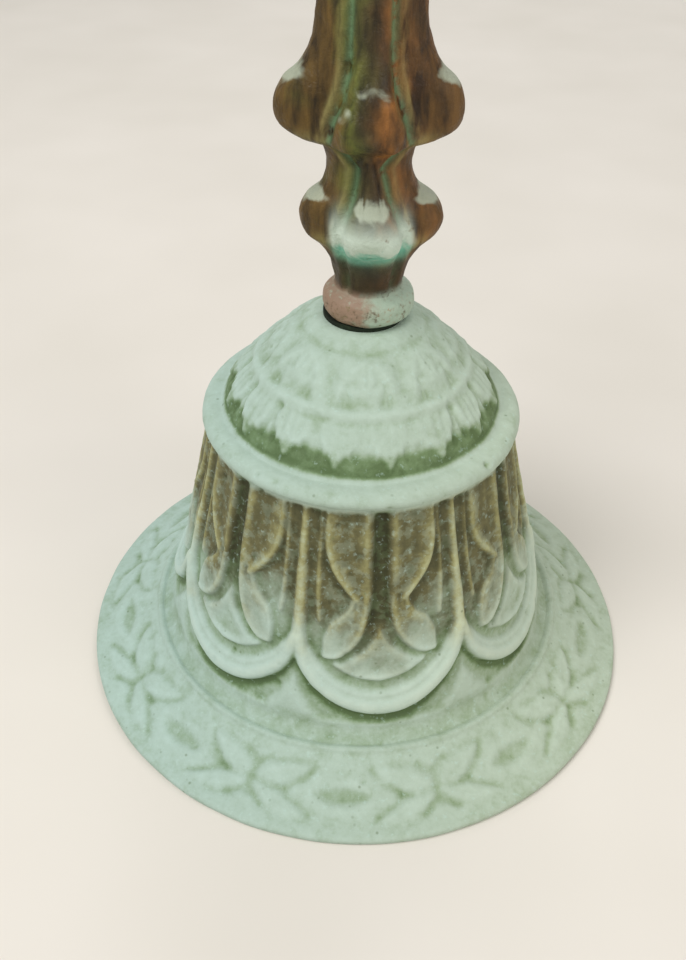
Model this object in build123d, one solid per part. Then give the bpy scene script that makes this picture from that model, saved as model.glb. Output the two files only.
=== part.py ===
from build123d import *
import math
import os

# Sanctus bell: a cast bronze hand bell with a leafy cast handle and a free-hanging clapper.
# Millimetres, +Z up. The origin is the centre of the mouth, on the plane that the lip rests on.
# +X is to the right of the cross on top, and -Y is the cross's front.

# ---- driving dimensions ------------------------------------------------------------------
mouth_r = 45.0  # outer radius of the flared lip
lip_t = 1.3  # thickness of the lip at its edge
lip_land = 1.4  # width of the flat ring under the lip, which the bell stands on
lip_round = 0.4  # how far the lip's edge is rounded in
waist_base = (30.9, 9.2)  # radius and height where the waist leaves the flange
shoulder = (22.7, 44.2)  # radius and height of the shoulder band's lower edge
crown_z = 60.5  # top of the crown, where the handle sits
crown_seat_r = 6.8  # flat seat on top of the crown
crown_under_z = 56.8  # flat seat inside the crown, for the washer and nut
crown_under_r = 7.2
total_h = 152.4  # lip to the top of the cross

bolt_r = 2.5  # threaded shank of the staple
hole_play = 0.05  # air round a shank, peg or rod in its hole
bolt_top_z = 72.0  # the shank ends here, inside the handle
seat_washer_r = 5.6
seat_washer_t = 0.6
staple_washer_r = 6.2
staple_washer_t = 1.0
staple_nut_flats = 8.0
staple_nut_t = 3.5

eye_wire_r = 1.1  # section of the staple's eye and of the clapper's eye
staple_eye_r = 3.1  # centreline radius of the staple's eye
clapper_eye_r = 3.0  # centreline radius of the clapper's eye
link_wire_r = 0.9  # section of the link's two loops
link_loop_r = 2.28  # centreline radius of each loop
link_knot_r = 1.3  # forged knot between the loops
loop_gap = 1.0  # how far apart the two loops' wires are at the knot
hang_play = 0.06  # air where a loop hangs in an eye

ball_r = 6.5
ball_z = 12.5  # height of the ball's centre, hanging at rest
ball_top_flat = 6.1  # the ball's centre to the flat under the rod's collar
ball_low_flat = 5.9  # the ball's centre to the flat that the nut closes on
rod_top_r = 1.3
rod_r = 1.7
rod_collar_r = 2.3
rod_collar_t = 1.0
rod_end = 8.3  # the ball's centre to the end of the rod
ball_nut_flats = 5.0
ball_nut_t = 1.9

collar_r = 6.3  # round collar at the foot of the handle
collar_h = 3.6
arm_t = 8.0  # width of each of the handle's four leaf arms
arm_round = 1.5  # rounding of the arms' edges
core_r = 4.5  # round core between the arms
arms_top_z = 128.5  # where the leaf arms end, under the top bead
bead_r = 5.4
bead_h = 3.6

peg_r = 1.8  # threaded peg of the cross, in the top of the handle
peg_l = 7.0
cross_t = 4.0  # thickness of the cross, front to back
cross_bar_w = 4.2
cross_arm_z = 143.4  # height of the cross's arms
cross_half_span = 9.0
bud_r = 2.3  # round bud at the end of each arm
foot_r = 4.4  # turned foot of the cross
foot_h = 2.6

# ---- heights that follow from them -------------------------------------------------------
handle_z = crown_z + seat_washer_t
staple_washer_z = crown_under_z - staple_washer_t
staple_nut_z = staple_washer_z - staple_nut_t
shank_low_z = staple_nut_z - 1.6
staple_eye_z = shank_low_z - staple_eye_r + 0.2
# The link hangs at the bottom of the staple's eye and turns about its own upper wire.
link_pivot_z = staple_eye_z - (staple_eye_r - eye_wire_r - link_wire_r - hang_play)
upper_loop_z = link_pivot_z - link_loop_r
lower_loop_z = upper_loop_z - 2 * link_loop_r - loop_gap
# The clapper hangs on the bottom wire of the link's lower loop and turns about it.
clapper_pivot_z = lower_loop_z - link_loop_r
clapper_eye_z = clapper_pivot_z - (clapper_eye_r - eye_wire_r - link_wire_r - hang_play)
collar_top_z = handle_z + collar_h
handle_top_z = arms_top_z + bead_h


def turned(edges):
    """Revolves a closed outline, drawn as radius and height, about the bell's axis."""
    return revolve(make_face([Plane.XZ * edge for edge in edges]), Axis.Z)


def upright(radius, low_z, high_z):
    """A cylinder on the bell's axis between two heights."""
    standing = (Align.CENTER, Align.CENTER, Align.MIN)
    return Pos(0, 0, low_z) * Cylinder(radius, high_z - low_z, align=standing)


def upright_cone(low_r, high_r, low_z, high_z):
    """A cone's frustum on the bell's axis between two heights."""
    standing = (Align.CENTER, Align.CENTER, Align.MIN)
    return Pos(0, 0, low_z) * Cone(low_r, high_r, high_z - low_z, align=standing)


def washer(outer_r, hole_r, low_z, thickness):
    """A flat ring on the bell's axis."""
    return upright(outer_r, low_z, low_z + thickness) - upright(hole_r, low_z - 1, low_z + thickness + 1)


def hex_nut(across_flats, hole_r, low_z, thickness):
    """A hexagon nut on the bell's axis, with its corners turned off above and below."""
    corner_r = across_flats / math.sqrt(3)
    prism = Pos(0, 0, low_z) * extrude(RegularPolygon(corner_r, 6), thickness)
    blank = upright(corner_r, low_z, low_z + thickness)
    blank = chamfer(blank.edges().filter_by(GeomType.CIRCLE), 0.07 * across_flats)
    return (prism & blank) - upright(hole_r, low_z - 1, low_z + thickness + 1)


def loop(centreline_r, wire_r, height, hole_along):
    """A round wire loop on the bell's axis, with its hole along X or Y."""
    turn = {"X": Rot(0, 90, 0), "Y": Rot(90, 0, 0)}[hole_along]
    return Pos(0, 0, height) * turn * Torus(centreline_r, wire_r)


# ---- bell shell --------------------------------------------------------------------------
def make_bell_shell():
    """Flared flange, ring moulding, waist, shoulder band and domed crown, about 2.3 thick."""
    land = (mouth_r - lip_round - lip_land, 0)
    lip_low = (mouth_r - lip_round, 0)
    lip_top = (mouth_r - lip_round, lip_t)
    ridge_out = (34.2, 6.2)
    ridge_in = (33.0, 6.8)
    band_top = (21.9, 46.4)
    dome_base = (20.5, 46.7)
    crown_seat = (crown_seat_r, crown_z)
    crown_under = (crown_under_r, crown_under_z)
    under_shoulder = (20.4, 43.4)
    under_base = (28.3, 9.6)
    under_flange = (33.4, 4.3)
    outer = [
        Line(land, lip_low),
        ThreePointArc(lip_low, (mouth_r, lip_t / 2), lip_top),
        ThreePointArc(lip_top, (39.2, 3.4), ridge_out),
        ThreePointArc(ridge_out, (33.8, 6.9), ridge_in),
        ThreePointArc(ridge_in, (31.6, 7.7), waist_base),
        Spline(waist_base, (28.7, 18.0), (26.6, 27.0), (24.2, 37.0), shoulder),
        ThreePointArc(shoulder, (23.1, 45.5), band_top),
        Line(band_top, dome_base),
        Spline(dome_base, (18.0, 50.4), (13.5, 55.2), (9.6, 58.7), crown_seat),
        Line(crown_seat, (0, crown_z)),
    ]
    inner = [
        Line((0, crown_z), (0, crown_under_z)),
        Line((0, crown_under_z), crown_under),
        Spline(crown_under, (11.6, 53.4), (16.4, 48.4), under_shoulder),
        Spline(under_shoulder, (21.9, 37.0), (24.2, 27.0), (26.2, 18.0), under_base),
        ThreePointArc(under_base, (30.2, 6.3), under_flange),
        ThreePointArc(under_flange, (38.6, 1.7), land),
    ]
    return turned(outer + inner) - upright(bolt_r + hole_play, crown_under_z - 5, crown_z + 5)


# ---- handle and its cross ----------------------------------------------------------------
def leaf_arms():
    """Four arms at right angles: a neck, two tiers of leaf lobes, a grip and a top tier."""
    lower_tier = [(5.4, 69.6), (6.9, 71.4), (8.7, 72.8), (9.3, 75.0), (8.3, 77.2), (6.3, 78.8)]
    stem = [(5.3, 81.2), (5.2, 83.6)]
    upper_tier = [(6.6, 85.0), (9.2, 85.3), (11.1, 86.6), (11.5, 88.7), (10.4, 91.4), (8.2, 93.6)]
    grip = [(6.7, 97.0), (6.2, 102.0), (5.6, 110.0), (5.2, 116.4)]
    top_tier = [(6.4, 118.0), (8.6, 118.4), (10.0, 120.4), (9.4, 123.0), (7.0, 125.4), (5.0, arms_top_z)]
    side = [(4.5, handle_z + 1), (4.5, 66.4)] + lower_tier + stem + upper_tier + grip + top_tier
    right = Spline(*side)
    left = Spline(*[(-r, z) for r, z in side])
    foot = Line(left @ 0, right @ 0)
    top = Line(left @ 1, right @ 1)
    outline = make_face([Plane.XZ * edge for edge in (right, left, foot, top)])
    blank = extrude(Pos(0, arm_t / 2, 0) * outline, arm_t)
    pair = fillet(blank.edges().filter_by(GeomType.BSPLINE), arm_round)
    return pair + Rot(0, 0, 90) * pair


def make_handle():
    """One casting, drilled and tapped from below for the staple and from above for the cross."""
    collar_mid_z = handle_z + 0.45 * collar_h
    collar = turned(
        [
            Line((0, handle_z), (collar_r - 0.6, handle_z)),
            ThreePointArc((collar_r - 0.6, handle_z), (collar_r, collar_mid_z), (4.6, collar_top_z)),
            Line((4.6, collar_top_z), (0, collar_top_z)),
            Line((0, collar_top_z), (0, handle_z)),
        ]
    )
    bead_mid_z = arms_top_z + bead_h / 2
    bead = turned(
        [
            Line((0, arms_top_z), (4.4, arms_top_z)),
            ThreePointArc((4.4, arms_top_z), (bead_r, bead_mid_z), (4.4, handle_top_z)),
            Line((4.4, handle_top_z), (0, handle_top_z)),
            Line((0, handle_top_z), (0, arms_top_z)),
        ]
    )
    core = upright(core_r, collar_top_z - 1, arms_top_z)
    casting = leaf_arms() + core + collar + bead
    casting -= upright(bolt_r + hole_play, handle_z - 1, bolt_top_z + 1)
    return casting - upright(peg_r + hole_play, handle_top_z - peg_l - 0.5, handle_top_z + 1)


def make_finial_cross():
    """Plain Latin cross with round buds, on a turned foot with a threaded peg under it."""
    foot_top_z = handle_top_z + foot_h
    bud_z = total_h - bud_r
    foot = upright_cone(foot_r, 2.2, handle_top_z, foot_top_z)
    post = Pos(0, 0, (foot_top_z - 1 + bud_z) / 2) * Box(cross_bar_w, cross_t, bud_z - foot_top_z + 1)
    arms = Pos(0, 0, cross_arm_z) * Box(2 * (cross_half_span - bud_r), cross_t, cross_bar_w)
    bud = Rot(90, 0, 0) * Cylinder(bud_r, cross_t)
    reach = cross_half_span - bud_r
    buds = [Pos(0, 0, bud_z) * bud, Pos(reach, 0, cross_arm_z) * bud, Pos(-reach, 0, cross_arm_z) * bud]
    return foot + post + arms + buds + upright(peg_r, handle_top_z - peg_l, handle_top_z)


# ---- staple, link and clapper ------------------------------------------------------------
def make_clapper_staple():
    """Eye bolt: a threaded shank up through the crown into the handle, its eye across Y."""
    shank = upright(bolt_r, shank_low_z, bolt_top_z)
    return shank + loop(staple_eye_r, eye_wire_r, staple_eye_z, "Y")


def make_clapper_link():
    """Two wire loops at right angles, forged together in a small knot."""
    knot = Pos(0, 0, upper_loop_z - link_loop_r - loop_gap / 2) * Sphere(link_knot_r)
    upper = loop(link_loop_r, link_wire_r, upper_loop_z, "X")
    lower = loop(link_loop_r, link_wire_r, lower_loop_z, "Y")
    return upper + lower + knot


def make_clapper_rod():
    """Eye, tapered rod, the collar that stops the ball, and the threaded end below it."""
    collar_z = ball_z + ball_top_flat
    eye = loop(clapper_eye_r, eye_wire_r, clapper_eye_z, "X")
    taper = upright_cone(rod_r, rod_top_r, collar_z, clapper_eye_z - clapper_eye_r)
    end = upright(rod_r, ball_z - rod_end, collar_z)
    return eye + taper + upright(rod_collar_r, collar_z, collar_z + rod_collar_t) + end


def make_clapper_ball():
    """Drilled striking ball, flat where the collar and the nut close on it."""
    slab = upright(ball_r, ball_z - ball_low_flat, ball_z + ball_top_flat)
    ball = (Pos(0, 0, ball_z) * Sphere(ball_r)) & slab
    return ball - upright(rod_r + hole_play, ball_z - 2 * ball_r, ball_z + 2 * ball_r)


bolt_hole_r = bolt_r + hole_play
parts = {
    "bell_shell": make_bell_shell(),
    "handle": make_handle(),
    "finial_cross": make_finial_cross(),
    "seat_washer": washer(seat_washer_r, bolt_hole_r, crown_z, seat_washer_t),
    "clapper_staple": make_clapper_staple(),
    "staple_washer": washer(staple_washer_r, bolt_hole_r, staple_washer_z, staple_washer_t),
    "staple_nut": hex_nut(staple_nut_flats, bolt_hole_r, staple_nut_z, staple_nut_t),
    "clapper_link": make_clapper_link(),
    "clapper_rod": make_clapper_rod(),
    "clapper_ball": make_clapper_ball(),
    "ball_nut": hex_nut(ball_nut_flats, rod_r + hole_play, ball_z - ball_low_flat - ball_nut_t, ball_nut_t),
}

os.makedirs("parts", exist_ok=True)
for node, shape in parts.items():
    export_step(shape, f"parts/{node}.step")
print("link pivot", round(link_pivot_z, 3), "clapper pivot", round(clapper_pivot_z, 3))
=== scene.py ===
"""Looks of the sanctus bell: cast relief on the shell and handle, verdigris, worn bronze and rusty iron."""

import math

import bpy
import numpy as np
from mathutils import Matrix, Vector


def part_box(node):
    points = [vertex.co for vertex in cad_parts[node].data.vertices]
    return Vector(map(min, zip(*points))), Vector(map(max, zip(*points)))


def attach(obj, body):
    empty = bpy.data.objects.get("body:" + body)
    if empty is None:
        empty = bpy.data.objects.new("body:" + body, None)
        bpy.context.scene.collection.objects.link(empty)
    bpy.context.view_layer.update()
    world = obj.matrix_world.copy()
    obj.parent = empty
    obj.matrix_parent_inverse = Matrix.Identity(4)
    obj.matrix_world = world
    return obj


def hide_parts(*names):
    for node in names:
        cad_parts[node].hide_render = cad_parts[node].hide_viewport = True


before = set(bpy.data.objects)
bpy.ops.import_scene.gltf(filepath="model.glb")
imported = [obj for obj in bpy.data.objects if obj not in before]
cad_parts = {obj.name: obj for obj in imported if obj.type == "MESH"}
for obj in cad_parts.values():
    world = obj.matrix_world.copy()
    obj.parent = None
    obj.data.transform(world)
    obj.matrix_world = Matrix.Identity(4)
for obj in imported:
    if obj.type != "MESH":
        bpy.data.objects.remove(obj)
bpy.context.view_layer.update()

MM = 0.001
SHELL_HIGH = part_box("bell_shell")[1] / MM
HANDLE_LOW, HANDLE_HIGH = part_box("handle")[0] / MM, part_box("handle")[1] / MM
LIP_R = SHELL_HIGH.x
CROWN_Z = SHELL_HIGH.z

# ---- the shell's outline, radius and height in mm -----------------------------------------
# Each stretch is smooth, and stretches meet in a crease. They run from the lip up the outside,
# over the crown, down the bore and back along the inside.
LIP = [(LIP_R - 0.4, 0.0), (LIP_R - 0.1, 0.2), (LIP_R, 0.65), (LIP_R - 0.1, 1.1), (LIP_R - 0.45, 1.35)]
FLANGE = [(LIP_R - 0.45, 1.35), (42.4, 2.05), (39.2, 3.4), (36.0, 5.2), (34.2, 6.2)]
RIDGE = [(34.2, 6.2), (33.8, 6.85), (33.2, 6.9), (32.7, 6.6)]
COVE = [(32.7, 6.6), (31.7, 7.3), (31.1, 8.2), (30.9, 9.2)]
WAIST = [(30.9, 9.2), (28.7, 18.0), (26.6, 27.0), (24.2, 37.0), (22.7, 44.0)]
BAND = [(22.7, 44.0), (23.25, 44.5), (23.35, 45.3), (22.8, 46.1), (21.8, 46.5), (20.5, 46.55)]
DOME = [(20.5, 46.55), (19.9, 48.2), (18.0, 50.6), (15.6, 53.1), (13.5, 55.2), (9.6, 58.7), (6.8, CROWN_Z)]
SEAT = [(6.8, CROWN_Z), (2.56, CROWN_Z)]
BORE = [(2.56, CROWN_Z), (2.56, 56.8)]
UNDER_CROWN = [(2.56, 56.8), (7.2, 56.8)]
UNDER_DOME = [(7.2, 56.8), (11.6, 53.4), (16.4, 48.4), (20.4, 43.4)]
UNDER_WAIST = [(20.4, 43.4), (21.9, 37.0), (24.2, 27.0), (26.2, 18.0), (28.3, 9.6)]
UNDER_FLANGE = [(28.3, 9.6), (30.2, 6.3), (33.4, 4.3), (38.6, 1.7), (LIP_R - 1.8, 0.0)]
LAND = [(LIP_R - 1.8, 0.0), (LIP_R - 0.4, 0.0)]

COLUMNS = 660  # quads round the shell
OUTER_STEP = 0.3  # mm from row to row where there is relief
INNER_STEP = 2.2

LOBES = 7  # U-shaped lobes round the waist
LOBE_TURN = 6.9  # azimuth of one lobe's middle, in degrees from -Y towards +X
FRIEZE_REPEATS = 9
FRIEZE_TURN = -2.7  # azimuth of one lens of the frieze
TEETH = 16  # notches round the dome
TEETH_TURN = 12.0
ARCHES = 8
ARCH_TURN = 0.8
DOME_START = 4.25  # the dome's motifs are drawn from this far below its foot, in mm
PITS = 90  # small casting pits
PINHOLE_TURN, PINHOLE_R, PINHOLE_Z = math.radians(48), 23.0, 46.2  # one deeper pit in the shoulder band


# ---- numbers: noise, smooth steps, curves ---------------------------------------------------
def lattice_noise(points, size, seed):
    """Smooth random numbers from -1 to 1, with lumps of about the given size."""
    table = np.random.default_rng(seed).uniform(-1, 1, 4096)
    grid = points / size + 1000.0
    cell = np.floor(grid).astype(np.int64)
    part = grid - cell
    part = part * part * (3 - 2 * part)
    total = np.zeros(points.shape[:-1])
    for corner in range(8):
        step = np.array([corner & 1, corner >> 1 & 1, corner >> 2 & 1])
        at = cell + step
        key = (at[..., 0] * 73856093 ^ at[..., 1] * 19349663 ^ at[..., 2] * 83492791) & 4095
        total += np.prod(np.where(step, part, 1 - part), axis=-1) * table[key]
    return total


def layered_noise(points, size, layers, seed):
    """Lattice noise with finer and weaker layers added."""
    total, strength = np.zeros(points.shape[:-1]), 1.0
    for layer in range(layers):
        total += strength * lattice_noise(points, size, seed + layer)
        size, strength = size * 0.5, strength * 0.55
    return total


def ease(low, high, value):
    """0 below low, 1 above high, smooth between."""
    part = np.clip((value - low) / (high - low), 0, 1)
    return part * part * (3 - 2 * part)


def bell(value, middle, half_width):
    """1 at the middle, falling smoothly to nothing at about twice the half width."""
    return np.exp(-(((value - middle) / half_width) ** 2))


def smooth_path(points, step):
    """Points about a step apart on a smooth curve through the given ones."""
    points = np.array(points, float)
    if len(points) == 2:
        count = max(1, round(float(np.linalg.norm(points[1] - points[0])) / step))
        return points[0] + (points[1] - points[0]) * np.linspace(0, 1, count + 1)[:, None]
    slopes = np.gradient(points, axis=0)
    made = [points[:1]]
    for i in range(len(points) - 1):
        count = max(1, round(float(np.linalg.norm(points[i + 1] - points[i])) / step))
        t = np.linspace(0, 1, count + 1)[1:, None]
        start = (1 + 2 * t) * (1 - t) ** 2 * points[i] + t * (1 - t) ** 2 * slopes[i]
        made.append(start + t * t * (3 - 2 * t) * points[i + 1] - t * t * (1 - t) * slopes[i + 1])
    return np.concatenate(made)


def path_distance(x, y, path):
    """Distance from each (x, y) to a path, and how far along the path the nearest point is, 0 to 1."""
    lengths = np.linalg.norm(np.diff(path, axis=0), axis=1)
    run = np.concatenate([[0], np.cumsum(lengths)]) / lengths.sum()
    best, along = np.full(x.shape, 1e9), np.zeros(x.shape)
    for i in range(len(path) - 1):
        (ax, ay), (bx, by) = path[i], path[i + 1]
        ux, uy = bx - ax, by - ay
        part = np.clip(((x - ax) * ux + (y - ay) * uy) / (ux * ux + uy * uy + 1e-12), 0, 1)
        gap = np.hypot(x - ax - part * ux, y - ay - part * uy)
        near = gap < best
        best = np.where(near, gap, best)
        along = np.where(near, run[i] + part * (run[i + 1] - run[i]), along)
    return best, along


def inside_path(x, y, path):
    """Whether each (x, y) is inside a closed path."""
    within = np.zeros(x.shape, bool)
    for (ax, ay), (bx, by) in zip(path, np.roll(path, -1, axis=0)):
        if ay != by:
            within ^= ((ay > y) != (by > y)) & (x < (bx - ax) * (y - ay) / (by - ay) + ax)
    return within


class Sheet:
    """A patch laid flat: x is the arc from the motif's middle and y the way up, both in mm.
    Motifs are drawn in degrees and mm, and are mirrored about x = 0."""

    def __init__(self, degrees, y, radius_at):
        self.radius_at = radius_at
        self.degrees = degrees
        self.x = np.radians(np.abs(degrees)) * radius_at(y)
        self.y = y

    def flat(self, points, smooth=True, closed=False):
        points = np.array(points, float)
        if closed:
            points = np.vstack([points, points[:1]])
        path = np.column_stack([np.radians(points[:, 0]) * self.radius_at(points[:, 1]), points[:, 1]])
        return smooth_path(path, 0.7) if smooth else path

    def roll(self, points, half_width, top, end_width=None, end_top=None, rise=1.0, power=2.2):
        """The level of a rounded roll along a line, which falls away by its rise at the half width."""
        gap, along = path_distance(self.x, self.y, self.flat(points))
        width = half_width + ((end_width or half_width) - half_width) * along
        level = top + ((top if end_top is None else end_top) - top) * along
        return level - rise * (gap / width) ** power

    def cut(self, points, half_width, depth):
        """How deep a soft-edged groove along a line goes."""
        gap, _ = path_distance(self.x, self.y, self.flat(points))
        return depth * np.exp(-((gap / half_width) ** 2))

    def inset(self, points):
        """How deep each point lies inside a closed outline, negative outside, in mm."""
        path = self.flat(points, smooth=False, closed=True)
        gap, _ = path_distance(self.x, self.y, path)
        return np.where(inside_path(self.x, self.y, path[:-1]), gap, -gap)

    def leaf(self, points, edge, dish, dish_edge):
        """The level of a raised leaf with a soft edge and a dished middle, below the ground outside it."""
        deep = self.inset(points)
        return LEAF_FOOT + LEAF_RISE * ease(*edge, deep) - dish * ease(*dish_edge, deep)


def mirrored(half, middle=0.0):
    """A closed outline from its right half, listed from the middle line and back to it."""
    return half + [(2 * middle - degrees, up) for degrees, up in reversed(half) if degrees != middle]


# ---- the relief of the shell, in mm out from its outline -------------------------------------
RIM_LOW, RIM_RISE, RIM_REACH = 3.1, 14.0, 26.3  # the rim's lowest point, its rise in mm, its reach in degrees
HALF_LOBE = 180 / LOBES
WAIST_RUN = 35.6  # mm up the waist in which a lobe is drawn
LEAF_FOOT, LEAF_RISE = -1.3, 1.15


def rim_line(degrees):
    """Height of the lobe rim's crest above the waist's foot."""
    return RIM_LOW + RIM_RISE * (1 - np.sqrt(np.clip(1 - (degrees / RIM_REACH) ** 2, 0, 1)))


def lobe_relief(sheet):
    """One lobe of the waist: a U-shaped rim, an anchor at its foot, and leaves beside a grooved spine."""
    x_deg, up = np.abs(sheet.degrees), sheet.y
    rim = [(d, float(rim_line(d))) for d in np.linspace(0, HALF_LOBE, 12)]
    over_rim = up - rim_line(np.clip(x_deg, 0, HALF_LOBE))
    shape = np.where(over_rim > 0, -0.8, -0.55)

    anchor = mirrored([(0, 7.2), (5, 7.5), (9, 8.4), (13.6, 10.0), (9.5, 11.3), (6.2, 12.6), (3.8, 14.0),
                       (1.8, 15.8), (0, 17.6)])
    shape = np.maximum(shape, sheet.leaf(anchor, (-0.4, 0.8), 0.22, (0.9, 2.2)))
    shape = np.maximum(shape, sheet.roll([(0, 8.1), (6, 8.5), (10, 9.3), (13.0, 10.1)], 1.0, 0.12, 0.6, -0.2))

    low_leaf = [(4.6, 22.0), (4.3, 20.0), (4.8, 17.5), (6.8, 14.6), (9.8, 12.6), (13.5, 11.2), (17.0, 11.0),
                (17.6, 13.5), (16.8, 16.0), (14.6, 18.0), (11.2, 19.2), (8.8, 20.5), (8.0, 22.2)]
    stalk = [(4.3, 36), (4.2, 30), (4.0, 24), (4.3, 20.3), (5.2, 17.6), (7.2, 14.9), (10.1, 12.9),
             (13.6, 11.7), (16.4, 11.7)]
    low_lip = [(16.7, 12.2), (16.6, 14.6), (14.6, 17.2), (11.0, 18.7), (8.6, 20.4), (8.2, 22.0)]
    shape = np.maximum(shape, sheet.leaf(low_leaf, (-0.3, 0.9), 0.12, (1.0, 2.4)))
    shape = np.maximum(shape, sheet.roll(stalk, 1.15, 0.1, 0.8, 0.08))
    shape = np.maximum(shape, sheet.roll(low_lip, 0.6, -0.08))

    high_leaf = [(3.6, 37), (3.6, 22), (8.2, 21.8), (10.2, 23.0), (13.2, 24.6), (15.8, 26.6), (17.4, 29.2),
                 (18.0, 32.0), (17.8, 37)]
    high_lip = [(7.4, 21.6), (10.2, 23.2), (13.0, 24.9), (15.4, 26.9), (16.9, 29.4), (17.4, 32.0), (17.3, 37)]
    shape = np.maximum(shape, sheet.leaf(high_leaf, (-0.3, 0.5), 0.38, (0.6, 2.2)))
    shape = np.maximum(shape, sheet.roll(high_lip, 0.85, 0.15, 0.7, -0.1))
    shape = shape + sheet.cut([(9.4, 36), (9.6, 30), (8.4, 26), (6.8, 23.8)], 0.5, 0.14)  # two raised veins
    shape = shape + sheet.cut([(13.4, 36), (13.4, 31), (12.2, 27.6)], 0.5, 0.12)

    side_rib = [(19.2, 17.5), (19.9, 21), (20.1, 27), (19.9, 32), (19.7, 37)]
    border = [(HALF_LOBE, 13.0), (HALF_LOBE, 24.0), (HALF_LOBE, 37)]
    shape = np.maximum(shape, sheet.roll(side_rib, 0.75, -0.35, 0.6, -0.45))
    shape = np.maximum(shape, sheet.roll(border, 1.2, 0.35, 0.9, -0.2))
    spine = (1 - ease(1.2, 2.4, x_deg)) * ease(16.0, 18.5, up)
    shape = np.where(spine > 0, shape * (1 - spine) - 0.75 * spine, shape)

    tongue = mirrored([(HALF_LOBE, 8.0), (HALF_LOBE - 2.0, 5.6), (HALF_LOBE - 5.4, 2.9),
                       (HALF_LOBE - 9.5, 0.3), (HALF_LOBE - 10, -2.5), (HALF_LOBE, -2.5)], HALF_LOBE)
    foot = -0.8 + 0.85 * ease(-1.0, 1.7, sheet.inset(tongue))
    shape = np.where(over_rim < 0, np.maximum(shape, foot), shape)
    shape = np.maximum(shape, sheet.roll(rim, 1.75, 0.7, 1.3, 0.65, rise=1.3, power=2.8))
    inner_rim = [(d * 0.955, h + 1.7) for d, h in rim[:11]]
    shape = np.maximum(shape, sheet.roll(inner_rim, 1.0, 0.05, 0.6, 0.0, rise=0.8))
    shape = shape - sheet.cut([(d, max(h - 2.2, 0.5)) for d, h in rim[:9]], 0.6, 0.3)
    return shape * ease(WAIST_RUN, WAIST_RUN - 0.8, up) * ease(-0.1, 0.9, up)


def frieze_relief(sheet):
    """One repeat of the flange: a hollow lens, and half of a four-leaved cross on each side."""
    up = sheet.y
    shape = np.zeros(up.shape)
    lens = mirrored([(0, 7.4), (2.5, 7.2), (4.6, 6.7), (5.9, 6.1), (4.6, 5.5), (2.5, 5.0), (0, 4.8)])
    deep = sheet.inset(lens)
    shape = shape - 0.42 * ease(-0.5, 0.8, deep) + 0.1 * bell(deep, -0.9, 0.5)

    cross = Sheet(180 / FRIEZE_REPEATS - np.abs(sheet.degrees), up, sheet.radius_at)
    upper_leaf = [(0.8, 6.4), (1.2, 7.8), (3.4, 9.2), (7.0, 9.9), (10.5, 10.2), (13.2, 10.0), (11.6, 8.8),
                  (9.2, 7.7), (7.2, 6.8), (4.4, 6.1)]
    lower_leaf = [(0.8, 5.9), (4.2, 5.7), (7.2, 5.3), (9.4, 4.5), (11.8, 3.4), (13.4, 2.3), (9.5, 2.2),
                  (6.0, 2.5), (3.6, 3.4), (1.4, 4.8)]
    for outline in (upper_leaf, lower_leaf):
        deep = cross.inset(outline)
        shape = shape + 0.2 * ease(-0.2, 0.9, deep) - 0.13 * bell(deep, -0.45, 0.4)

    # Grooves: the leaves' veins, the cross's middle, the notches round it, and the edges beside the lens.
    for patch, line, half_width, depth in [
            (cross, [(2.6, 6.9), (6.0, 7.9), (9.0, 8.9)], 0.3, 0.1),
            (cross, [(2.6, 5.0), (6.0, 4.2), (9.0, 3.3)], 0.3, 0.1),
            (cross, [(0, 8.8), (0, 3.8)], 0.42, 0.2),
            (cross, [(3.0, 10.0), (0.3, 8.7)], 0.5, 0.28),
            (cross, [(0.3, 4.6), (3.4, 3.0)], 0.6, 0.36),
            (cross, [(5.8, 5.95), (8.4, 6.0)], 0.5, 0.3),
            (sheet, [(6.6, 9.9), (7.9, 8.3), (10.2, 7.2), (12.4, 6.2)], 0.42, 0.24),
            (sheet, [(6.8, 2.9), (9.0, 4.0), (12.4, 5.2)], 0.42, 0.26)]:
        shape = shape - patch.cut(line, half_width, depth)
    return 0.85 * shape * ease(1.4, 2.4, up) * ease(11.2, 10.2, up)


def dome_relief(sheet, crisp):
    """One sixteenth of the dome: a hanging leaf, a ring and a notch. Crisp is 0 where it is worn away."""
    up = sheet.y
    half = 180 / TEETH
    shape = -0.45 * ease(4.3, 5.0, up) * ease(9.4, 7.6, up)
    leaf = [(-3, 13), (-3, 5.8), (0, 5.6), (1.6, 5.9), (4.2, 7.4), (6.4, 7.3), (8.2, 8.6), (10.2, 9.0),
            (half, 10.4), (half, 13)]
    shape = np.maximum(shape, -0.75 + (0.75 + 0.18 * crisp) * ease(-0.5, 0.9, sheet.inset(leaf)))
    shape = shape - crisp * sheet.cut([(half, 12.4), (half - 1.2, 9.6), (half - 3.4, 7.4)], 0.5, 0.34)
    shape = shape - crisp * sheet.cut([(0, 11.4), (0, 7.0)], 0.35, 0.16)
    shape = shape - crisp * sheet.cut([(4.4, 11.6), (4.0, 9.0)], 0.35, 0.16)
    shape = shape - 0.16 * bell(up, 12.0, 0.45) + 0.24 * bell(up, 13.1, 0.8)
    notch = [(-1, 13.7), (4.6, 13.9), (3.4, 15.0), (1.6, 16.4), (0, 17.4), (-1, 17.4)]
    return shape - 0.34 * ease(-0.6, 0.9, sheet.inset(notch))


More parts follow.
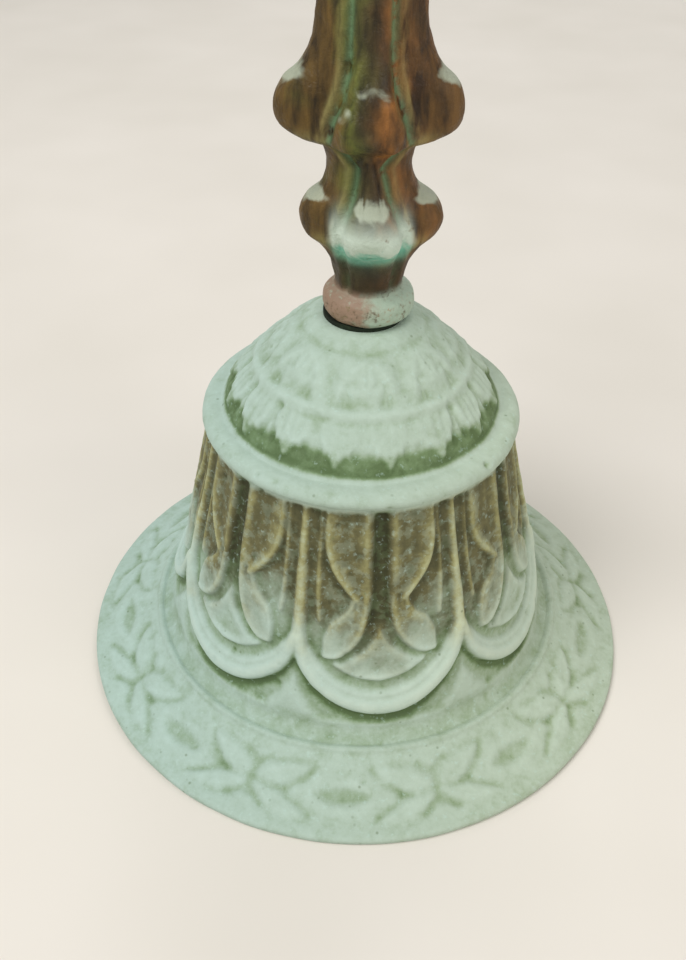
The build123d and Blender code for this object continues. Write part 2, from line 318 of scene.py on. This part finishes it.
def arch_relief(sheet):
    """One of the eight petals round the crown: a raised arch with a hollow leaf inside it."""
    half = 180 / ARCHES
    petal = [(-2, 20.9), (7, 20.7), (14, 19.8), (18.5, 18.4), (19.5, 16.9), (16, 15.9), (8, 15.7), (-2, 15.7)]
    deep = sheet.inset(petal)
    shape = 0.24 * ease(-0.7, 0.9, deep) - 0.28 * ease(0.7, 2.2, deep)
    shape = shape - sheet.cut([(half, 16.4), (half, 20.6)], 0.8, 0.14)
    shape = shape + sheet.cut([(0, 16.8), (5, 18.2), (12, 18.0)], 0.6, 0.12)
    return shape - 0.18 * bell(sheet.y, 21.8, 0.45)


def run_lengths(outline):
    return np.concatenate([[0], np.cumsum(np.linalg.norm(np.diff(outline, axis=0), axis=1))])


def folded(degrees, turn, repeats):
    """Degrees from the middle of the nearest repeat."""
    width = 360 / repeats
    return (degrees - turn + width / 2) % width - width / 2


def outline_normals(outline):
    """Unit normals of a closed outline that runs with the metal on its left, so they point out of it."""
    along = np.roll(outline, -1, axis=0) - np.roll(outline, 1, axis=0)
    along /= np.linalg.norm(along, axis=1)[:, None] + 1e-12
    return np.column_stack([along[:, 1], -along[:, 0]])


def blurred(values, passes):
    """Values smoothed over their neighbours in a grid that wraps from the last column to the first."""
    for _ in range(passes):
        values = (2 * values + np.roll(values, 1, axis=1) + np.roll(values, -1, axis=1)) / 4
        up = np.vstack([values[1:], values[-1:]])
        down = np.vstack([values[:1], values[:-1]])
        values = (2 * values + up + down) / 4
    return values


# ---- meshes -----------------------------------------------------------------------------------
def mesh_piece(name, vertices, faces, body, replaces, material, attributes=()):
    """A smooth-shaded piece in metres from vertices in mm, with a number stored at each vertex."""
    mesh = bpy.data.meshes.new(name)
    mesh.from_pydata((np.asarray(vertices) * MM).tolist(), [], faces)
    mesh.shade_smooth()
    for label, values in dict(attributes).items():
        layer = mesh.attributes.new(label, "FLOAT", "POINT")
        layer.data.foreach_set("value", np.asarray(values, np.float32).ravel())
    mesh.materials.append(material)
    piece = bpy.data.objects.new(name, mesh)
    bpy.context.scene.collection.objects.link(piece)
    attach(piece, body)
    if replaces:
        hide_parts(*replaces)
    return piece


def ring_faces(rows, columns, closed):
    """Quads between neighbouring rings of points. A closed grid joins its last ring to its first."""
    row = np.arange(rows if closed else rows - 1)[:, None]
    column = np.arange(columns)[None, :]
    above = (row + 1) % rows
    beside = (column + 1) % columns
    corners = [row * columns + column, row * columns + beside,
               above * columns + beside, above * columns + column]
    return np.stack(corners, axis=-1).reshape(-1, 4).tolist()


STRETCHES = [("lip", LIP, OUTER_STEP), ("flange", FLANGE, OUTER_STEP), ("ridge", RIDGE, 0.25),
             ("cove", COVE, OUTER_STEP), ("waist", WAIST, OUTER_STEP), ("band", BAND, OUTER_STEP),
             ("dome", DOME, OUTER_STEP), ("seat", SEAT, 1.0), ("bore", BORE, 1.0),
             ("under_crown", UNDER_CROWN, 1.2), ("under_dome", UNDER_DOME, INNER_STEP),
             ("under_waist", UNDER_WAIST, INNER_STEP), ("under_flange", UNDER_FLANGE, INNER_STEP),
             ("land", LAND, 0.7)]


class ShellGrid:
    """Points over the whole shell: a row for each step along its outline, a column for each step round."""

    def __init__(self):
        outline, label, run = [], [], []
        for name, points, step in STRETCHES:
            path = smooth_path(points, step)
            outline.append(path[:-1])
            label += [name] * (len(path) - 1)
            run.append(run_lengths(path)[:-1])
        self.outline, self.run, self.label = np.concatenate(outline), np.concatenate(run), np.array(label)
        self.normals = outline_normals(self.outline)
        self.shape = (len(self.outline), COLUMNS)
        degrees = np.arange(COLUMNS) / COLUMNS * 360 - 180
        self.degrees = np.broadcast_to(degrees, self.shape)
        self.around = np.stack([np.sin(np.radians(degrees)), -np.cos(np.radians(degrees))], axis=-1)
        self.points = self.place(np.zeros(self.shape))
        self.drift = lattice_noise(self.points, 9.0, 11)
        self.drift_up = lattice_noise(self.points, 9.0, 12)
        self.outer = self.part("flange", "ridge", "cove", "waist", "band", "dome")

    def part(self, *names):
        """Which rows belong to the named stretches."""
        return np.isin(self.label, names)

    def place(self, offset):
        """The points moved out from the outline by an offset in mm."""
        radius = self.outline[:, 0, None] + self.normals[:, 0, None] * offset
        height = self.outline[:, 1, None] + self.normals[:, 1, None] * offset
        return np.concatenate([radius[..., None] * self.around[None], height[..., None]], axis=-1)

    def sheet(self, name, turn, repeats, start, sway, lift):
        """One stretch laid flat for a motif that repeats round it, drifting a little like hand work."""
        rows = self.part(name)
        span, radius = self.run[rows] + start, self.outline[rows, 0]
        degrees = folded(self.degrees[rows] + sway * self.drift[rows], turn, repeats)
        up = span[:, None] + lift * self.drift_up[rows]
        return Sheet(degrees, up, lambda value: np.interp(value, span, radius))

    def waist_sheet(self):
        """The waist as a sheet, and how far up each row is on the scale that a lobe is drawn to."""
        run = self.run[self.part("waist")]
        up = run[:, None] * WAIST_RUN / run.max()
        waist = self.sheet("waist", LOBE_TURN, LOBES, 0, 0.6, 0.25)
        waist.y = up + 0.25 * self.drift_up[self.part("waist")]
        return waist, up


def shell_relief(grid):
    """How far each point stands out from the outline, in mm."""
    relief = np.zeros(grid.shape)
    waist, _ = grid.waist_sheet()
    relief[grid.part("waist")] = lobe_relief(waist)

    rows = grid.part("flange")
    flange = grid.sheet("flange", FRIEZE_TURN, FRIEZE_REPEATS, 0.45, 0.5, 0.15)
    relief[rows] = frieze_relief(flange) * ease(0.45, 1.2, grid.run[rows] + 0.45)[:, None]

    rows = grid.part("dome")
    crisp = 0.2 + 0.6 * ease(22, 38, np.abs(grid.degrees - 3))[rows]  # the front is worn flatter
    run = grid.run[rows]
    relief[rows] = dome_relief(grid.sheet("dome", TEETH_TURN, TEETH, DOME_START, 2.6, 0.5), crisp)
    crown = grid.sheet("dome", ARCH_TURN, ARCHES, DOME_START, 3.2, 0.5)
    relief[rows] += arch_relief(crown) * ease(24.2, 23.4, crown.y)
    relief[rows] *= ease(0, 0.7, run)[:, None] * ease(0, 0.8, run.max() - run)[:, None]

    outer = grid.outer
    relief[outer] = 0.3 * relief[outer] + 0.7 * blurred(relief[outer], 1)
    grain = 0.05 * layered_noise(grid.points, 2.2, 3, 21) - 0.02
    lumps = 0.10 * lattice_noise(grid.points, 7.0, 31)
    relief[outer] += grain[outer] + lumps[outer] - 0.03
    random = np.random.default_rng(5)
    outer_rows = np.flatnonzero(outer)
    for _ in range(PITS):
        middle = grid.points[random.choice(outer_rows), random.integers(COLUMNS)]
        gap = np.linalg.norm(grid.points[outer] - middle, axis=-1)
        relief[outer] -= random.uniform(0.08, 0.3) * bell(gap, 0, random.uniform(0.3, 0.55))
    pinhole = np.array([np.sin(PINHOLE_TURN) * PINHOLE_R, -np.cos(PINHOLE_TURN) * PINHOLE_R, PINHOLE_Z])
    relief[outer] -= 0.6 * bell(np.linalg.norm(grid.points[outer] - pinhole, axis=-1), 0, 0.5)

    under = grid.part("under_crown", "under_dome", "under_waist", "under_flange")
    relief[under] += 0.12 * layered_noise(grid.points, 6.0, 3, 41)[under]
    lip = grid.part("lip")
    relief[lip] = 0.06 * (lattice_noise(grid.points, 5.0, 51)[lip] - 1)
    return relief


def shell_stains(grid, relief):
    """Numbers that the material reads at each point: hollows, bare metal, moss-green and the inside."""
    outer = grid.outer
    cavity, wide, bare, mossy = (np.zeros(grid.shape) for _ in range(4))
    cavity[outer] = relief[outer] - blurred(relief[outer], 26)
    wide[outer] = relief[outer] - blurred(relief[outer], 150)

    rows = grid.part("waist")
    waist, up = grid.waist_sheet()
    patches = layered_noise(grid.points, 6.0, 3, 61)[rows]
    bare[rows] = ease(9, 25, up + 4.5 * patches) * ease(WAIST_RUN + 0.6, WAIST_RUN - 1.2, up)
    over_rim = up - rim_line(np.minimum(np.abs(waist.degrees), HALF_LOBE))
    mossy[rows] = 0.75 * bell(over_rim, -2.4, 1.3) - 0.5 * bell(over_rim, 2.6, 1.2)
    mossy[rows] += 0.6 * ease(5.5, 3.0, np.abs(waist.degrees)) * ease(16, 19, up)
    mossy[rows] += 0.3 * ease(1.2, 0.2, up)
    mossy[grid.part("cove")] = 0.3
    rows = grid.part("dome")
    run = grid.run[rows][:, None]
    mossy[rows] = 0.9 * ease(0.1, 0.8, run) * ease(4.6, 2.9, run + 0.8 * grid.drift[rows])

    inside = np.broadcast_to((~outer & ~grid.part("lip", "seat"))[:, None].astype(float), grid.shape)
    return {"cavity": cavity, "wide": wide, "bare": bare, "mossy": mossy, "inside": inside}


def make_shell(material):
    grid = ShellGrid()
    relief = shell_relief(grid)
    vertices = grid.place(relief).reshape(-1, 3)
    faces = ring_faces(*grid.shape, True)
    return mesh_piece("shell_casting", vertices, faces, "root", ["bell_shell"], material,
                      shell_stains(grid, relief))


# ---- the handle -----------------------------------------------------------------------------
HANDLE_FOOT = HANDLE_LOW.z
# Reach of a side arm of the handle at each height.
SIDE = [(5.6, HANDLE_FOOT), (6.1, HANDLE_FOOT + 0.5), (6.35, 62.6), (6.2, 64.0), (5.5, 64.7), (4.7, 65.3),
        (4.6, 66.6), (5.3, 69.2), (6.8, 71.3), (8.6, 72.8), (9.3, 75.0), (8.4, 77.2), (6.5, 78.6),
        (5.5, 80.4), (5.2, 82.6), (6.1, 84.6), (8.8, 85.2), (10.9, 86.5), (11.5, 88.7), (10.5, 91.4),
        (8.3, 93.6), (6.8, 97.0), (6.2, 102.0), (5.6, 110.0), (5.2, 116.0), (6.2, 117.9), (8.4, 118.4),
        (9.9, 120.4), (9.3, 123.0), (7.0, 125.3), (5.3, 127.6), (4.9, 128.4), (5.3, 129.2), (5.4, 130.3),
        (5.2, 131.5), (4.4, HANDLE_HIGH.z)]
# Half width of the front and back faces at each height, between their grooves.
FACE = [(60, 3.0), (66.5, 3.0), (71.0, 3.6), (74.0, 4.3), (76.4, 3.4), (79.0, 2.3), (82.5, 1.6), (84.4, 3.4),
        (85.6, 5.2), (88.0, 4.5), (91.0, 3.3), (94.0, 2.6), (110.0, 2.4), (116.0, 2.2), (118.0, 3.6),
        (121.0, 3.4), (125.0, 2.4), (134.0, 2.4)]
# Half thickness of the side arms at each height.
ARM = [(66, 3.6), (70, 4.0), (75, 4.4), (79, 4.2), (83, 4.1), (86, 4.3), (89, 4.4), (94, 4.5), (110, 4.0),
       (118, 3.8), (121, 4.0), (128, 3.6)]
# Reach of the core's corners between the arms at each height.
CORNER = [(66, 4.7), (72, 5.6), (78, 5.6), (83, 5.4), (90, 6.0), (100, 6.1), (116, 5.3), (122, 5.8),
          (128, 5.0)]
STEM_REACH = 6.4  # the arms' reach between their lobes
ROUNDNESS = 2.6  # exponent of an arm's section: 2 is an ellipse, and more is squarer
SHARPNESS = 9  # how sharply the arms meet the core
HANDLE_COLUMNS = 288
HANDLE_LEAN = 0.6  # mm that the foot stands off the middle, as castings do


def by_height(table, z):
    return np.interp(z, *np.array(table).T)


def ring_points(radius, angle, z):
    """Points at each height and angle, at a radius from the axis."""
    height = np.broadcast_to(z, radius.shape)
    return np.stack([radius * np.cos(angle), radius * np.sin(angle), height], axis=-1)


def four_armed(angle, reach, face, z):
    """Radius of the stem: an arm with wide lobes to each side, and shorter ones in front and behind."""
    across, front = np.abs(np.cos(angle)), np.abs(np.sin(angle))
    stem = np.minimum(reach, STEM_REACH)
    front_reach = stem + (reach - stem) * np.where(z < 80, 0.75, 0.5)
    power = -1 / ROUNDNESS
    side_arm = ((across / reach) ** ROUNDNESS + (front / by_height(ARM, z)) ** ROUNDNESS) ** power
    front_arm = ((front / front_reach) ** ROUNDNESS + (across / (face + 0.5)) ** ROUNDNESS) ** power
    core = 0.86 * by_height(CORNER, z)
    return (side_arm ** SHARPNESS + front_arm ** SHARPNESS + core ** SHARPNESS) ** (1 / SHARPNESS)


def make_handle(material):
    path = smooth_path(SIDE, 0.3)
    reach, z = path[:, 0, None], path[:, 1, None]
    angle = np.arange(HANDLE_COLUMNS)[None, :] / HANDLE_COLUMNS * 2 * math.pi
    face = by_height(FACE, z)
    turned = np.clip(ease(67.0, 64.6, z) + ease(127.4, 128.6, z), 0, 1)  # the collar and the bead are round
    radius = four_armed(angle, reach, face, z) * (1 - turned) + reach * turned

    front = np.abs(np.sin(angle))
    aside = np.abs(radius * np.cos(angle))
    facing = ease(0.45, 0.75, front)
    groove = bell(np.abs(aside - face), 0, 0.45) * facing * (1 - turned)
    rim = bell(aside - face - 0.95, 0, 0.45) * facing * (1 - turned)
    rim *= 0.35 + 0.65 * np.maximum(bell(z, 88.0, 5.0), bell(z, 74.0, 4.0))
    under_lobes = bell(z, 85.6, 0.9) + bell(z, 72.6, 1.0)
    rim = np.maximum(rim, under_lobes * ease(4.4, 5.6, aside) * ease(0.2, 0.6, front) * 0.8)

    # Two flutes open downwards on the narrow part between the front lobes.
    flute_top, flute_low = 83.8, 76.8
    flute_half = 0.35 + 1.1 * np.clip((flute_top - z) / (flute_top - flute_low), 0, 1)
    in_flute = ease(flute_top, flute_top - 0.8, z) * ease(flute_low, flute_low + 1.2, z) * facing
    flute = bell(aside, flute_half, 0.3) * in_flute

    points = ring_points(radius, angle, z)
    knobs = layered_noise(points, 2.6, 2, 71)
    on_front_lobe = facing * (bell(z, 87.5, 3.6) * (1 - ease(3.6, 5.0, aside)))
    radius = radius - 0.5 * groove + 0.34 * rim - 0.3 * flute + 0.6 * knobs * on_front_lobe
    grain, lumps = 0.11 * layered_noise(points, 2.6, 3, 81), 0.12 * lattice_noise(points, 6.0, 91)
    radius = radius + (grain + lumps - 0.08)
    tongue = facing * bell(z, 73.4, 2.8) * ease(6.2, 4.6, aside)
    radius = radius + 0.3 * tongue * (0.6 + lattice_noise(points, 2.6, 77))

    rings = ring_points(radius, angle, z)
    rings[..., 0] += HANDLE_LEAN * ease(88, 74, rings[..., 2])
    rings[..., :2] = np.clip(rings[..., :2], -HANDLE_HIGH.x, HANDLE_HIGH.x)
    vertices = np.vstack([rings.reshape(-1, 3), [[0, 0, HANDLE_FOOT]], [[0, 0, HANDLE_HIGH.z]]])
    faces = ring_faces(len(path), HANDLE_COLUMNS, False)
    top_row = radius.size - HANDLE_COLUMNS
    low_end, high_end = radius.size, radius.size + 1
    for i in range(HANDLE_COLUMNS):
        following = (i + 1) % HANDLE_COLUMNS
        faces.append([low_end, following, i])
        faces.append([high_end, top_row + i, top_row + following])

    def with_ends(values):
        return np.concatenate([np.broadcast_to(values, radius.shape).ravel(), [0, 0]])

    cavity = radius - blurred(radius, 14)
    foot = ease(66.4, 64.6, z)
    attributes = {"cavity": with_ends(cavity), "green": with_ends(groove),
                  "rim": with_ends(np.clip(rim, 0, 1)), "tongue": with_ends(tongue), "foot": with_ends(foot)}
    return mesh_piece("handle_casting", vertices, faces, "root", ["handle"], material,
                      attributes)


# ---- materials --------------------------------------------------------------------------------
def linear(red, green, blue):
    """A colour written as 0 to 255 display values, as the shader wants it."""
    def channel(value):
        value = value / 255
        return value / 12.92 if value <= 0.04045 else ((value + 0.055) / 1.055) ** 2.4
    return (channel(red), channel(green), channel(blue), 1.0)


class Finish:
    """A material built node by node. Each call returns the new node's output."""

    def __init__(self, name, **shader_values):
        self.material = bpy.data.materials.new(name)
        self.material.use_nodes = True
        self.tree = self.material.node_tree
        self.shader = self.tree.nodes["Principled BSDF"]
        for socket, value in shader_values.items():
            self.shader.inputs[socket.replace("_", " ")].default_value = value
        self.place = self.node("ShaderNodeTexCoord").outputs["Object"]

    def node(self, kind, inputs=None, **settings):
        made = self.tree.nodes.new(kind)
        for name, value in settings.items():
            setattr(made, name, value)
        for socket, value in (inputs or {}).items():
            self.feed(made.inputs[socket], value)
        return made

    def feed(self, socket, value):
        if isinstance(value, bpy.types.NodeSocket):
            self.tree.links.new(value, socket)
        else:
            socket.default_value = value

    def noise(self, size_mm, detail=3.0, rough=0.55, warp=0.0, stretch=None):
        place = self.place
        if stretch:
            place = self.node("ShaderNodeMapping", {"Vector": place, "Scale": stretch}).outputs["Vector"]
        inputs = {"Vector": place, "Scale": 1 / (size_mm * MM), "Detail": detail, "Roughness": rough,
                  "Distortion": warp}
        return self.node("ShaderNodeTexNoise", inputs).outputs["Fac"]

    def cells(self, size_mm, randomness=1.0):
        inputs = {"Vector": self.place, "Scale": 1 / (size_mm * MM), "Randomness": randomness}
        return self.node("ShaderNodeTexVoronoi", inputs).outputs["Distance"]

    def attribute(self, name):
        return self.node("ShaderNodeAttribute", attribute_name=name).outputs["Fac"]

    def axis(self, name):
        return self.node("ShaderNodeSeparateXYZ", {"Vector": self.place}).outputs[name]

    def math(self, kind, first, second=0.0):
        made = self.node("ShaderNodeMath", {0: first, 1: second}, operation=kind)
        return made.outputs[0]

    def span(self, value, low, high, out_low=0.0, out_high=1.0):
        """Maps low..high to out_low..out_high, with the ends held and the middle smooth."""
        inputs = {"Value": value, "From Min": low, "From Max": high, "To Min": out_low, "To Max": out_high}
        return self.node("ShaderNodeMapRange", inputs, interpolation_type="SMOOTHSTEP").outputs["Result"]

    def ramp(self, value, stops):
        made = self.node("ShaderNodeValToRGB", {"Fac": value})
        elements = made.color_ramp.elements
        while len(elements) < len(stops):
            elements.new(0.5)
        for element, (position, colour) in zip(elements, stops):
            element.position = position
            element.color = linear(*colour)
        return made.outputs["Color"]

    def mix(self, amount, first, second, blend="MIX"):
        """Mixes two colours, each an output or a tuple. A Mix node has its colour sockets at these places."""
        made = self.node("ShaderNodeMix", data_type="RGBA", blend_type=blend)
        self.feed(made.inputs["Factor"], amount)
        for socket, colour in ((made.inputs[6], first), (made.inputs[7], second)):
            self.feed(socket, linear(*colour) if isinstance(colour, tuple) else colour)
        return made.outputs[2]

    def times(self, first, second):
        return self.math("MULTIPLY", first, second)

    def plus(self, first, second):
        return self.math("ADD", first, second)

    def around_zero(self, noise, size):
        """Noise shifted to lie about zero, at the given size."""
        return self.times(self.math("SUBTRACT", noise, 0.5), size)

    def bump(self, height, distance_mm, strength=1.0, under=None):
        inputs = {"Height": height, "Distance": distance_mm * MM, "Strength": strength}
        if under is not None:
            inputs["Normal"] = under
        return self.node("ShaderNodeBump", inputs).outputs["Normal"]

    def finish(self, colour, roughness=None, normal=None, metallic=None):
        self.feed(self.shader.inputs["Base Color"], colour)
        for socket, value in (("Roughness", roughness), ("Normal", normal), ("Metallic", metallic)):
            if value is not None:
                self.feed(self.shader.inputs[socket], value)
        return self.material


def verdigris_bronze():
    """Cast bronze under pale verdigris: dark green in the hollows, olive-brown metal high on the waist."""
    f = Finish("verdigris_bronze", Specular_IOR_Level=0.35)
    cloud, mottle, fine = f.noise(11, 4), f.noise(2.6, 4, 0.6, 0.4), f.noise(0.7, 3, 0.6)

    # Level runs from 0 in the deepest, greenest hollows to 1 on the highest edges.
    level = f.plus(f.times(f.attribute("cavity"), 0.5), f.times(f.attribute("wide"), 0.25))
    level = f.plus(f.plus(level, 0.56), f.around_zero(mottle, 0.5))
    level = f.plus(level, f.around_zero(fine, 0.22))
    level = f.math("SUBTRACT", level, f.times(f.attribute("mossy"), 0.36))
    level = f.math("MAXIMUM", level, 0.06)
    patina = f.ramp(level, [(0.0, (76, 96, 56)), (0.2, (108, 130, 92)), (0.36, (146, 164, 140)),
                            (0.56, (172, 188, 176)), (0.78, (184, 200, 191)), (1.0, (192, 206, 196))])
    # Painted light: the patina is tinted bluer on the left side and yellower on the right, as coloured light
    # from each side would tint it.
    cool_light_tint, warm_light_tint = (246, 255, 255), (255, 252, 238)
    patina = f.mix(1.0, patina, f.mix(f.span(f.axis("X"), -0.04, 0.04), cool_light_tint, warm_light_tint), "MULTIPLY")
    bronze = f.ramp(level, [(0.1, (46, 44, 18)), (0.34, (66, 60, 26)), (0.54, (92, 84, 40)),
                            (0.74, (138, 132, 80)), (1.0, (182, 184, 138))])
    spots = f.span(f.noise(1.5, 3, 0.6), 0.40, 0.60)
    bare = f.times(f.attribute("bare"), f.plus(f.times(spots, 0.35), 0.75))
    bare = f.math("MINIMUM", f.math("MAXIMUM", bare, 0.0), 0.92)
    colour = f.mix(bare, patina, bronze)
    mint = f.times(f.span(f.noise(0.8, 3, 0.6), 0.58, 0.72), 0.3)
    colour = f.mix(mint, colour, (186, 212, 202))
    dirt = f.times(f.span(f.cells(1.9), 0.16, 0.05), f.span(cloud, 0.45, 0.6))
    colour = f.mix(f.times(dirt, 0.5), colour, (92, 108, 72))
    inside = f.ramp(mottle, [(0.25, (58, 50, 34)), (0.5, (88, 82, 54)), (0.75, (112, 128, 98))])
    colour = f.mix(f.attribute("inside"), colour, inside)

    rough = f.span(level, 0.1, 0.9, 0.62, 0.82)
    normal = f.bump(f.noise(0.55, 4, 0.6), 0.09, 0.7, f.bump(mottle, 0.16, 0.6))
    return f.finish(colour, rough, normal)


def handle_bronze():
    """Handled bronze: olive, brown and orange-brown with painted light, lighter at the sides and darker
    across the front; green in the grooves; paler on faces that look upwards; painted shade in the hollows and
    on the neck under the lower lobes.
    """
    f = Finish("handle_bronze", Specular_IOR_Level=0.3)
    cloud, mottle, fine = f.noise(7, 3), f.noise(2.2, 4, 0.6, 0.5), f.noise(0.6, 3, 0.6)
    streak = f.noise(1.6, 3, 0.6, 0.3, stretch=(1, 1, 0.25))

    # Partly the bronze's own olive, brown and orange tones, and partly painted light: lighter on the left and
    # right sides, darker across the front middle.
    across = f.plus(f.span(f.axis("X"), -0.0062, 0.0062), f.around_zero(cloud, 0.7))
    metal = f.ramp(across, [(0.0, (104, 80, 36)), (0.22, (104, 108, 46)), (0.42, (84, 76, 42)),
                            (0.6, (86, 64, 34)), (0.8, (150, 98, 44)), (1.0, (106, 76, 36))])
    # Painted shade: darker in the hollows, laid over vertical streaks of darker tone.
    shade = f.ramp(f.plus(streak, f.times(f.attribute("cavity"), 0.5)),
                   [(0.3, (112, 112, 112)), (0.5, (200, 200, 200)), (0.72, (255, 255, 255))])
    colour = f.mix(1.0, metal, shade, "MULTIPLY")
    green = f.times(f.attribute("green"), f.span(mottle, 0.35, 0.55))
    colour = f.mix(f.times(green, 0.8), colour, (98, 128, 92))
    rim = f.times(f.attribute("rim"), f.span(streak, 0.3, 0.6))
    colour = f.mix(f.times(rim, 0.6), colour, (158, 152, 96))

    # Paler towards the faces that look upwards, broken up by the mottle.
    normals = f.node("ShaderNodeNewGeometry").outputs["Normal"]
    up = f.node("ShaderNodeSeparateXYZ", {"Vector": normals}).outputs["Z"]
    ledge = f.times(f.span(f.plus(up, f.times(mottle, 0.4)), 0.66, 0.9), 0.8)
    colour = f.mix(ledge, colour, (176, 184, 162))
    crust = f.times(f.attribute("tongue"), f.span(mottle, 0.2, 0.42))
    low = f.plus(f.axis("Z"), f.around_zero(mottle, 0.006))
    pale = f.mix(f.span(low, 0.0734, 0.0714), (190, 204, 188), (112, 176, 152))
    colour = f.mix(f.math("MINIMUM", f.times(crust, 1.3), 1.0), colour, pale)
    # Painted shade: a dark brown band on the narrow neck between the collar and the lower lobes, where the
    # lobes above shade it.
    neck = f.times(f.span(f.axis("Z"), 0.0712, 0.0695), f.span(f.axis("Z"), 0.0645, 0.066))
    colour = f.mix(f.times(neck, 0.75), colour, (52, 40, 20))
    foot_side = f.span(f.plus(f.axis("X"), f.around_zero(mottle, 0.009)), -0.0015, 0.0025)
    foot = f.mix(foot_side, (146, 122, 102), (164, 182, 162))
    colour = f.mix(f.times(f.attribute("foot"), f.span(fine, 0.2, 0.5)), colour, foot)

    rough = f.span(mottle, 0.3, 0.7, 0.42, 0.66)
    normal = f.bump(fine, 0.12, 0.9, f.bump(mottle, 0.4, 0.9))
    return f.finish(colour, rough, normal)


def rusty_iron():
    """Forged iron, brown with rust, and dark where it rubs."""
    f = Finish("rusty_iron", Specular_IOR_Level=0.4)
    mottle, fine = f.noise(1.8, 4, 0.65, 0.5), f.noise(0.35, 3, 0.6)
    colour = f.ramp(mottle, [(0.25, (44, 34, 28)), (0.48, (84, 58, 42)), (0.62, (118, 76, 48)),
                             (0.8, (70, 54, 46))])
    rough, metallic = f.span(mottle, 0.3, 0.7, 0.5, 0.85), f.span(mottle, 0.35, 0.55, 0.6, 0.0)
    normal = f.bump(fine, 0.06, 0.8, f.bump(mottle, 0.15, 0.7))
    return f.finish(colour, rough, normal, metallic)


def dull_brass():
    """Brass nuts and washers, tarnished brown with a little green in the corners."""
    f = Finish("dull_brass", Specular_IOR_Level=0.5)
    mottle, fine = f.noise(1.6, 4, 0.6, 0.4), f.noise(0.3, 3, 0.6)
    colour = f.ramp(mottle, [(0.25, (96, 128, 98)), (0.4, (112, 92, 50)), (0.6, (158, 128, 70)),
                             (0.8, (126, 98, 52))])
    rough, metallic = f.span(mottle, 0.3, 0.7, 0.65, 0.36), f.span(mottle, 0.38, 0.5, 0.0, 0.75)
    return f.finish(colour, rough, f.bump(fine, 0.05, 0.7), metallic)


def ball_bronze():
    """The clapper's ball, brown bronze worn brighter in spots where it strikes."""
    f = Finish("ball_bronze", Specular_IOR_Level=0.5)
    mottle, fine = f.noise(3.2, 4, 0.6, 0.3), f.noise(0.4, 3, 0.6)
    colour = f.ramp(mottle, [(0.25, (92, 118, 92)), (0.42, (88, 70, 40)), (0.6, (126, 98, 56)),
                             (0.8, (160, 128, 78))])
    rough, metallic = f.span(mottle, 0.35, 0.7, 0.62, 0.34), f.span(mottle, 0.4, 0.55, 0.0, 0.7)
    return f.finish(colour, rough, f.bump(fine, 0.05, 0.7), metallic)


def old_leather():
    """The seat washer: leather gone almost black, with green from the bronze."""
    f = Finish("old_leather", Specular_IOR_Level=0.3)
    grain, mottle = f.cells(0.5), f.noise(1.5, 3, 0.6)
    colour = f.ramp(mottle, [(0.3, (16, 22, 14)), (0.6, (30, 40, 26)), (0.8, (52, 66, 46))])
    return f.finish(colour, f.span(mottle, 0.3, 0.7, 0.7, 0.95), f.bump(grain, 0.08, 0.6))


HANDLE = handle_bronze()
make_shell(verdigris_bronze())
make_handle(HANDLE)
IRON, BRASS = rusty_iron(), dull_brass()
CARRIED = {"finial_cross": HANDLE, "seat_washer": old_leather(), "clapper_staple": IRON, "clapper_link": IRON,
           "clapper_rod": IRON, "staple_washer": BRASS, "staple_nut": BRASS, "ball_nut": BRASS,
           "clapper_ball": ball_bronze()}
for node_name, finish in CARRIED.items():
    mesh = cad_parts[node_name].data
    mesh.materials.clear()
    mesh.materials.append(finish)


# ---- floor, light and camera -------------------------------------------------------------------
def stage_floor(size, drop, material):
    """A square floor for the picture, a little below the bell's foot."""
    half = size / 2
    mesh = bpy.data.meshes.new("floor")
    corners = [(-half, -half, 0), (half, -half, 0), (half, half, 0), (-half, half, 0)]
    mesh.from_pydata(corners, [], [(0, 1, 2, 3)])
    mesh.materials.append(material)
    floor = bpy.data.objects.new("floor", mesh)
    floor.location = (0, 0, -drop)
    bpy.context.scene.collection.objects.link(floor)


def pale_floor():
    f = Finish("pale_floor", Specular_IOR_Level=0.2, Roughness=0.8)
    return f.finish(f.ramp(f.noise(60, 2), [(0.3, (222, 216, 206)), (0.7, (228, 222, 213))]))


def soft_lamp(name, place, aim, size, watts, colour):
    light = bpy.data.lights.new(name, "AREA")
    light.shape = "DISK"
    light.size = size
    light.energy = watts
    light.color = colour
    lamp = bpy.data.objects.new(name, light)
    direction = np.array(aim) - np.array(place)
    lamp.rotation_euler = Vector(direction).to_track_quat("-Z", "Y").to_euler()
    lamp.location = place
    bpy.context.scene.collection.objects.link(lamp)


stage_floor(3.0, 0.00002, pale_floor())
MIDDLE = (0, 0, 0.05)
soft_lamp("key", (-0.35, -0.25, 0.65), MIDDLE, 0.5, 3.8, (1.0, 1.0, 1.0))
soft_lamp("fill", (0.5, -0.35, 0.35), MIDDLE, 0.5, 1.5, (1.0, 0.98, 0.96))
soft_lamp("back", (0.1, 0.6, 0.5), MIDDLE, 0.5, 1.2, (1.0, 1.0, 1.0))
world = bpy.data.worlds.new("soft_room")
world.use_nodes = True
background = world.node_tree.nodes["Background"]
background.inputs["Color"].default_value = linear(224, 224, 222)
background.inputs["Strength"].default_value = 0.55
bpy.context.scene.world = world
bpy.context.scene.view_settings.view_transform = "Standard"

# The camera looks down at the bell from in front, as the photographer did.
CAMERA_PLACE = (-0.0025, -0.11706, 0.12730)
CAMERA_TILT, CAMERA_ROLL = math.radians(50.34), math.radians(0.858)
camera_data = bpy.data.cameras.new("camera")
camera_data.sensor_width = 36.0
camera_data.lens = 36.08
camera_data.clip_start = 0.005
camera = bpy.data.objects.new("camera", camera_data)
camera.matrix_world = (Matrix.Translation(CAMERA_PLACE) @ Matrix.Rotation(CAMERA_TILT, 4, "X")
                       @ Matrix.Rotation(CAMERA_ROLL, 4, "Z"))
bpy.context.scene.collection.objects.link(camera)
bpy.context.scene.camera = camera
